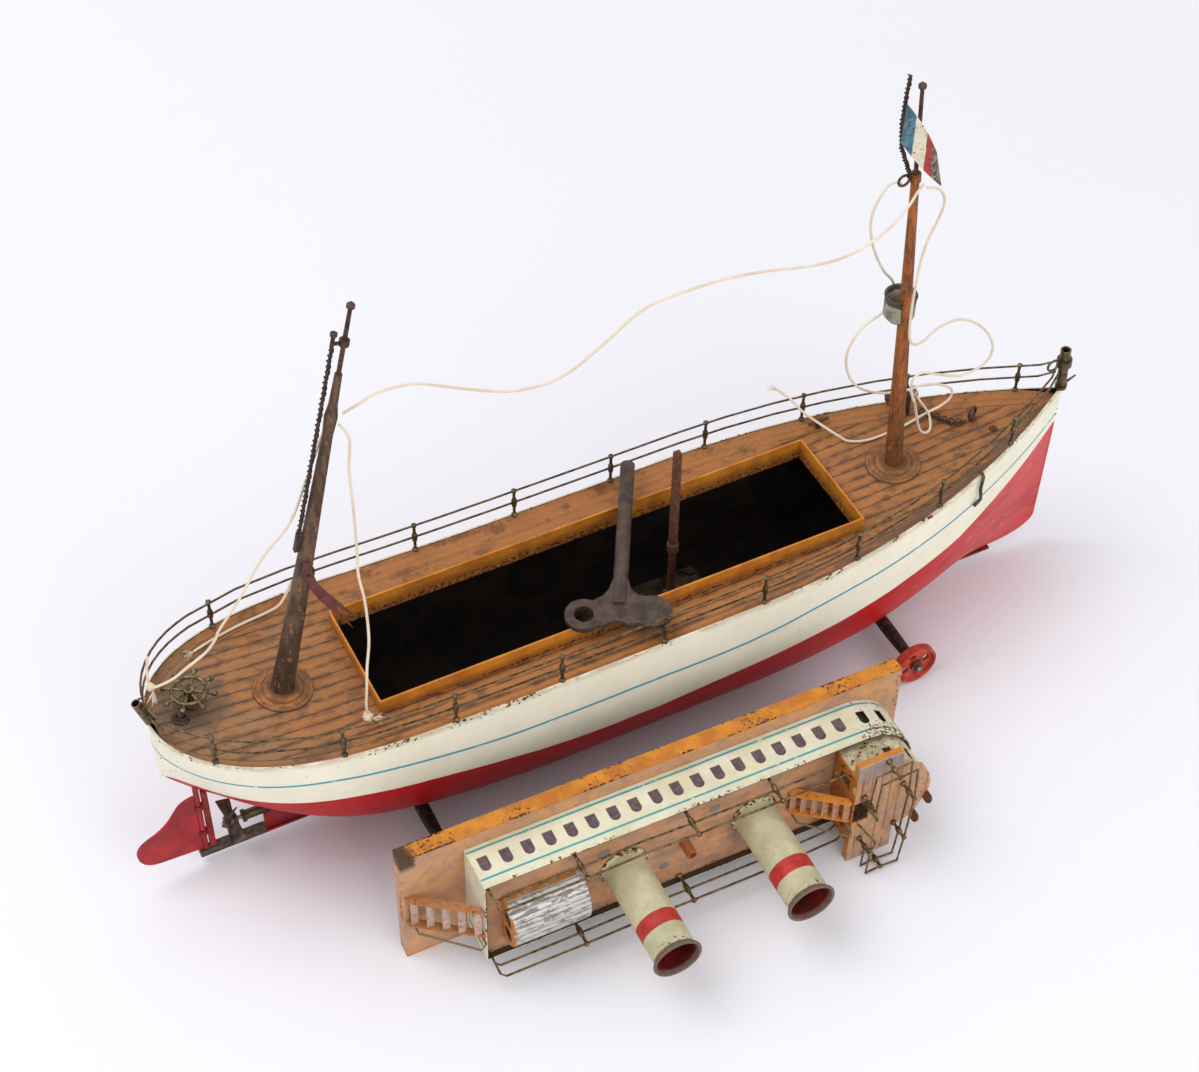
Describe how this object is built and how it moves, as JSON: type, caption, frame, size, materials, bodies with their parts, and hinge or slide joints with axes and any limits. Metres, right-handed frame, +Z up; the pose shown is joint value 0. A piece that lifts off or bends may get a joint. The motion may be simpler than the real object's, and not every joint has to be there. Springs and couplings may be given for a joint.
{
  "type": "toy_ship",
  "caption": "Clockwork toy passenger ship in worn painted tinplate, about 70 cm long, with its upper works lifted off beside the hull, its winding key on the open hatch and loose twine between the masts.",
  "frame": {"origin": "middle of the keel strip's underside amidships, on the centreline", "axes": "+X to the bow, +Y to port, +Z up"},
  "size_m": [0.7376, 0.3356, 0.499],
  "materials": {
    "hull_paint": "worn satin, cream above and red below",
    "red_paint": "worn satin",
    "planked_deck": "printed planks, worn satin",
    "orange_paint": "chipped satin",
    "tan_paint": "worn satin",
    "dark_brass": "tarnished",
    "dark_iron": "dull",
    "rusty_iron": "rusty",
    "dull_red_paint": "dull",
    "flag_paint": "faded blue, white and red",
    "cream_paint": "worn satin",
    "clock_brass": "satin, tarnished",
    "steel": "satin",
    "wheel_paint": "worn satin",
    "key_iron": "dull",
    "bright_tin": "ribbed, flaking",
    "twine": "twisted cotton"
  },
  "bodies": {
    "ship": {"hull": "hull_paint", "keel": "red_paint", "main_deck": "planked_deck", "hatch_coaming": "orange_paint", "rail_posts": "dark_brass", "rail_wires": "dark_brass", "mast_flanges": "planked_deck", "aft_mast": "dark_iron", "fore_mast": "rusty_iron", "masthead_rods": "dark_iron", "mast_stays": "dark_iron", "pennant": "dull_red_paint", "flag": "flag_paint", "crows_nest": "cream_paint", "stern_socket": "dark_brass", "bow_socket": "dark_brass", "deck_fittings": "dark_iron", "anchor_chain": "dark_iron", "axle_tubes": "dark_iron", "lower_plate": "clock_brass", "upper_plate": "clock_brass", "frame_pillars": "clock_brass", "stern_tube": "clock_brass", "twine_stern": "twine", "twine_span": "twine", "twine_drop": "twine", "twine_port": "twine", "twine_fore_loops": "twine", "twine_fore_drop": "twine"},
    "steering": {"rudder": "red_paint", "rudder_stock": "steel"},
    "screw": {"propeller": "dark_iron", "propeller_shaft": "steel"},
    "contrate": {"contrate_wheel": "clock_brass"},
    "second": {"second_wheel": "clock_brass"},
    "great": {"great_wheel": "clock_brass", "spring_barrel": "clock_brass"},
    "winder": {"winding_arbor": "steel", "winding_rod": "rusty_iron"},
    "pawl": {"click": "steel"},
    "fore_wheelset": {"fore_axle": "steel", "fore_wheels": "wheel_paint"},
    "aft_wheelset": {"aft_axle": "steel", "aft_wheels": "wheel_paint"},
    "windlass_drum": {"windlass": "dark_iron"},
    "key": {"key": "key_iron"},
    "upper_works": {"house_base": "tan_paint", "cabin": "cream_paint", "boat_deck": "tan_paint", "aft_stair": "orange_paint", "skylight": "bright_tin", "aft_funnel": "cream_paint", "fore_funnel": "cream_paint", "fore_stair": "orange_paint", "bridge_house": "cream_paint", "bridge_deck": "tan_paint", "house_rail_posts": "dark_brass", "house_rail_wires": "dark_brass"},
    "helm": {"steering_wheel": "dark_brass"}
  },
  "joints": [
    {"name": "rudder_turn", "type": "hinge", "parent": "ship", "child": "steering", "pos_m": [-0.329, 0, 0.04], "axis": [0, 0, 1], "range_deg": [-35, 35]},
    {"name": "helm_spin", "type": "hinge", "parent": "ship", "child": "helm", "pos_m": [-0.319, 0.008, 0.162], "axis": [0, 0, 1], "continuous": true},
    {"name": "great_spin", "type": "hinge", "parent": "ship", "child": "great", "pos_m": [0.034, 0.01, 0.03], "axis": [0, 0, 1], "continuous": true},
    {"name": "second_spin", "type": "hinge", "parent": "ship", "child": "second", "pos_m": [0.00634, -0.008, 0.03], "axis": [0, 0, 1], "continuous": true},
    {"name": "contrate_spin", "type": "hinge", "parent": "ship", "child": "contrate", "pos_m": [-0.01243, 0, 0.03], "axis": [0, 0, 1], "continuous": true},
    {"name": "screw_spin", "type": "hinge", "parent": "ship", "child": "screw", "pos_m": [-0.309, 0, 0.0245], "axis": [1, 0, 0], "continuous": true},
    {"name": "winder_spin", "type": "hinge", "parent": "ship", "child": "winder", "pos_m": [0.034, 0.01, 0.06], "axis": [0, 0, 1], "continuous": true},
    {"name": "click_swing", "type": "hinge", "parent": "ship", "child": "pawl", "pos_m": [0.04663, 0.02138, 0.061], "axis": [0, 0, -1], "range_deg": [0, 14]},
    {"name": "fore_roll", "type": "hinge", "parent": "ship", "child": "fore_wheelset", "pos_m": [0.192, 0, 0.009], "axis": [0, 1, 0], "continuous": true},
    {"name": "aft_roll", "type": "hinge", "parent": "ship", "child": "aft_wheelset", "pos_m": [-0.184, 0, 0.009], "axis": [0, 1, 0], "continuous": true},
    {"name": "windlass_spin", "type": "hinge", "parent": "ship", "child": "windlass_drum", "pos_m": [0.237, 0.04, 0.157], "axis": [0.9703, -0.2419, 0], "continuous": true},
    {"name": "key_lift", "type": "slide", "parent": "ship", "child": "key", "axis": [0, 0, 1], "range_m": [0, 0.08]},
    {"name": "works_lift", "type": "slide", "parent": "ship", "child": "upper_works", "axis": [0, 0, 1], "range_m": [0, 0.12]}
  ],
  "couplings": [
    {"joint": "second_spin", "follows": "great_spin", "ratio": -4},
    {"joint": "contrate_spin", "follows": "great_spin", "ratio": 12},
    {"joint": "screw_spin", "follows": "great_spin", "ratio": 36}
  ]
}
